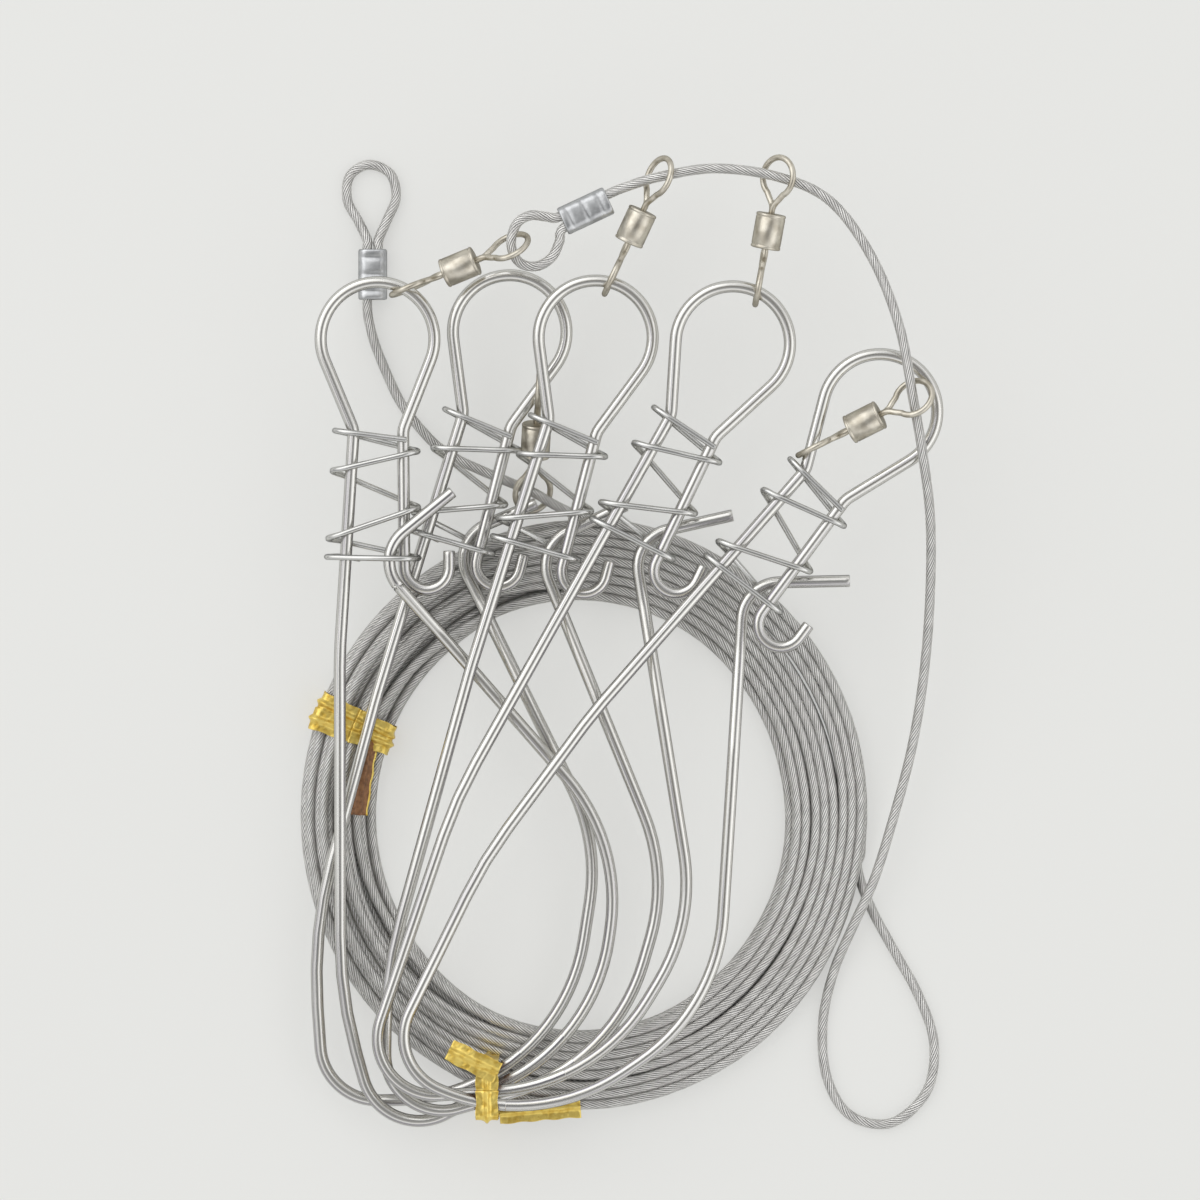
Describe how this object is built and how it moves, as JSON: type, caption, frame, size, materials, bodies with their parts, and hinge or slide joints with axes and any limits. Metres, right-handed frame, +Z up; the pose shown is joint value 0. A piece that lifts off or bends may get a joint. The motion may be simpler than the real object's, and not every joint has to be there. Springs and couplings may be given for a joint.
{
  "type": "fish stringer",
  "caption": "Coiled coated steel cable with end loops, carrying large wire snap hooks on barrel swivels, tied as packed.",
  "frame": {"origin": "centre of the bounding box's bottom face, on the floor under the coil", "axes": "+X to the right and +Y up the necks of the hooks as pictured from above, +Z up out of the pile"},
  "size_m": [0.1012, 0.1548, 0.0233],
  "materials": {
    "coated_cable": "clear coated galvanised wire rope",
    "hook_wire": "bright drawn stainless wire",
    "spring_wire": "bright spring wire",
    "swivel_metal": "nickel plated",
    "ferrule_metal": "crimped, satin",
    "tie_foil": "metallised gold foil",
    "tie_wire": "annealed wire"
  },
  "bodies": {
    "cable": {"cable_coil": "coated_cable", "cable_left_run": "coated_cable", "cable_right_run": "coated_cable", "ferrule_left": "ferrule_metal", "ferrule_right": "ferrule_metal", "coil_tie_foil": "tie_foil", "coil_tie_core": "tie_wire", "pile_tie_foil": "tie_foil", "pile_tie_core": "tie_wire"},
    "swivel_1_ring": {"swivel_1_cable_eye": "swivel_metal"},
    "swivel_1_sleeve": {"swivel_1_barrel": "swivel_metal"},
    "swivel_1_link": {"swivel_1_hook_eye": "swivel_metal"},
    "hook_1": {"hook_1_frame": "hook_wire", "hook_1_lock_spring": "spring_wire"},
    "gate_1": {"hook_1_gate": "hook_wire"},
    "swivel_2_ring": {"swivel_2_cable_eye": "swivel_metal"},
    "swivel_2_sleeve": {"swivel_2_barrel": "swivel_metal"},
    "swivel_2_link": {"swivel_2_hook_eye": "swivel_metal"},
    "hook_2": {"hook_2_frame": "hook_wire", "hook_2_lock_spring": "spring_wire"},
    "gate_2": {"hook_2_gate": "hook_wire"},
    "swivel_3_ring": {"swivel_3_cable_eye": "swivel_metal"},
    "swivel_3_sleeve": {"swivel_3_barrel": "swivel_metal"},
    "swivel_3_link": {"swivel_3_hook_eye": "swivel_metal"},
    "hook_3": {"hook_3_frame": "hook_wire", "hook_3_lock_spring": "spring_wire"},
    "gate_3": {"hook_3_gate": "hook_wire"},
    "swivel_4_ring": {"swivel_4_cable_eye": "swivel_metal"},
    "swivel_4_sleeve": {"swivel_4_barrel": "swivel_metal"},
    "swivel_4_link": {"swivel_4_hook_eye": "swivel_metal"},
    "hook_4": {"hook_4_frame": "hook_wire", "hook_4_lock_spring": "spring_wire"},
    "gate_4": {"hook_4_gate": "hook_wire"},
    "swivel_5_ring": {"swivel_5_cable_eye": "swivel_metal"},
    "swivel_5_sleeve": {"swivel_5_barrel": "swivel_metal"},
    "swivel_5_link": {"swivel_5_hook_eye": "swivel_metal"},
    "hook_5": {"hook_5_frame": "hook_wire", "hook_5_lock_spring": "spring_wire"},
    "gate_5": {"hook_5_gate": "hook_wire"}
  },
  "joints": [
    {"name": "ring_1_slide", "type": "slide", "parent": "cable", "child": "swivel_1_ring", "axis": [0.0767, -0.9971, 0], "range_m": [-0.0005, 0.0007]},
    {"name": "sleeve_1_spin", "type": "hinge", "parent": "swivel_1_ring", "child": "swivel_1_sleeve", "pos_m": [-0.02561, 0.05959, 0.0132], "axis": [0.9181, 0.3709, 0.1396], "continuous": true},
    {"name": "link_1_turn", "type": "hinge", "parent": "swivel_1_ring", "child": "swivel_1_link", "pos_m": [-0.03351, 0.0564, 0.012], "axis": [0.9181, 0.3709, 0.1396], "range_deg": [-12, 30]},
    {"name": "hook_1_swing", "type": "hinge", "parent": "swivel_1_ring", "child": "hook_1", "pos_m": [-0.03424, 0.0561, 0.01189], "axis": [0, -0.0388, 0.9992], "range_deg": [-1.5, 0.4]},
    {"name": "gate_1_open", "type": "hinge", "parent": "hook_1", "child": "gate_1", "pos_m": [-0.00914, -0.06363, 0.00724], "axis": [0, 0.0388, -0.9992], "range_deg": [0, 5], "stiffness_Nm_per_rad": 0.3, "springref_deg": -1.72, "deforming": ["hook_1_lock_spring"]},
    {"name": "ring_2_slide", "type": "slide", "parent": "cable", "child": "swivel_2_ring", "axis": [-0.895, 0.446, 0], "range_m": [-0.0004, 0.0002]},
    {"name": "sleeve_2_spin", "type": "hinge", "parent": "swivel_2_ring", "child": "swivel_2_sleeve", "pos_m": [-0.01371, 0.03239, 0.00647], "axis": [-0.0583, -0.9526, -0.2985], "continuous": true},
    {"name": "link_2_turn", "type": "hinge", "parent": "swivel_2_ring", "child": "swivel_2_link", "pos_m": [-0.01321, 0.04058, 0.00903], "axis": [-0.0583, -0.9526, -0.2985], "range_deg": [-45, 8]},
    {"name": "hook_2_swing", "type": "hinge", "parent": "swivel_2_ring", "child": "hook_2", "pos_m": [-0.01321, 0.04058, 0.00903], "axis": [0, -0.0388, 0.9992], "range_deg": [-0.3, 2.5]},
    {"name": "gate_2_open", "type": "hinge", "parent": "hook_2", "child": "gate_2", "pos_m": [-0.01546, -0.06586, 0.00491], "axis": [0, 0.0388, -0.9992], "range_deg": [0, 25], "stiffness_Nm_per_rad": 0.3, "springref_deg": -1.72, "deforming": ["hook_2_lock_spring"]},
    {"name": "ring_3_slide", "type": "slide", "parent": "cable", "child": "swivel_3_ring", "axis": [-0.9747, -0.2233, 0], "range_m": [-0.002, 0.0003]},
    {"name": "sleeve_3_spin", "type": "hinge", "parent": "swivel_3_ring", "child": "swivel_3_sleeve", "pos_m": [0.00212, 0.06583, 0.01546], "axis": [0.4189, 0.8983, 0.1323], "continuous": true},
    {"name": "link_3_turn", "type": "hinge", "parent": "swivel_3_ring", "child": "swivel_3_link", "pos_m": [-0.00148, 0.0581, 0.01432], "axis": [0.4189, 0.8983, 0.1323], "range_deg": [-42, 42]},
    {"name": "hook_3_swing", "type": "hinge", "parent": "swivel_3_ring", "child": "hook_3", "pos_m": [-0.00194, 0.05712, 0.01418], "axis": [0, -0.0388, 0.9992], "range_deg": [-1.4, 0.7]},
    {"name": "gate_3_open", "type": "hinge", "parent": "hook_3", "child": "gate_3", "pos_m": [-0.00715, -0.06705, 0.00936], "axis": [0, 0.0388, -0.9992], "range_deg": [0, 3], "stiffness_Nm_per_rad": 0.3, "springref_deg": -1.72, "deforming": ["hook_3_lock_spring"]},
    {"name": "ring_4_slide", "type": "slide", "parent": "cable", "child": "swivel_4_ring", "axis": [-0.9657, 0.2598, 0], "range_m": [-0.002, 0.0015]},
    {"name": "sleeve_4_spin", "type": "hinge", "parent": "swivel_4_ring", "child": "swivel_4_sleeve", "pos_m": [0.02293, 0.06498, 0.0175], "axis": [0.1725, 0.9781, 0.1165], "continuous": true},
    {"name": "link_4_turn", "type": "hinge", "parent": "swivel_4_ring", "child": "swivel_4_link", "pos_m": [0.02145, 0.05657, 0.0165], "axis": [0.1725, 0.9781, 0.1165], "range_deg": [-38, 30]},
    {"name": "hook_4_swing", "type": "hinge", "parent": "swivel_4_ring", "child": "hook_4", "pos_m": [0.02126, 0.0555, 0.01637], "axis": [0, -0.0388, 0.9992], "range_deg": [-1.7, 2]},
    {"name": "gate_4_open", "type": "hinge", "parent": "hook_4", "child": "gate_4", "pos_m": [-0.00953, -0.06913, 0.01153], "axis": [0, 0.0388, -0.9992], "range_deg": [0, 7], "stiffness_Nm_per_rad": 0.3, "springref_deg": -1.72, "deforming": ["hook_4_lock_spring"]},
    {"name": "ring_5_slide", "type": "slide", "parent": "cable", "child": "swivel_5_ring", "axis": [-0.1723, 0.9851, 0], "range_m": [-0.0005, 0.003]},
    {"name": "sleeve_5_spin", "type": "hinge", "parent": "swivel_5_ring", "child": "swivel_5_sleeve", "pos_m": [0.03799, 0.03492, 0.01936], "axis": [0.8805, 0.439, 0.179], "continuous": true},
    {"name": "link_5_turn", "type": "hinge", "parent": "swivel_5_ring", "child": "swivel_5_link", "pos_m": [0.03042, 0.03114, 0.01782], "axis": [0.8805, 0.439, 0.179], "range_deg": [-25, 20]},
    {"name": "hook_5_swing", "type": "hinge", "parent": "swivel_5_ring", "child": "hook_5", "pos_m": [0.02962, 0.03075, 0.01766], "axis": [0, -0.0388, 0.9992], "range_deg": [-3, 2.4]},
    {"name": "gate_5_open", "type": "hinge", "parent": "hook_5", "child": "gate_5", "pos_m": [-0.01865, -0.07357, 0.01361], "axis": [0, 0.0388, -0.9992], "range_deg": [0, 25], "stiffness_Nm_per_rad": 0.3, "springref_deg": -1.72, "deforming": ["hook_5_lock_spring"]}
  ]
}
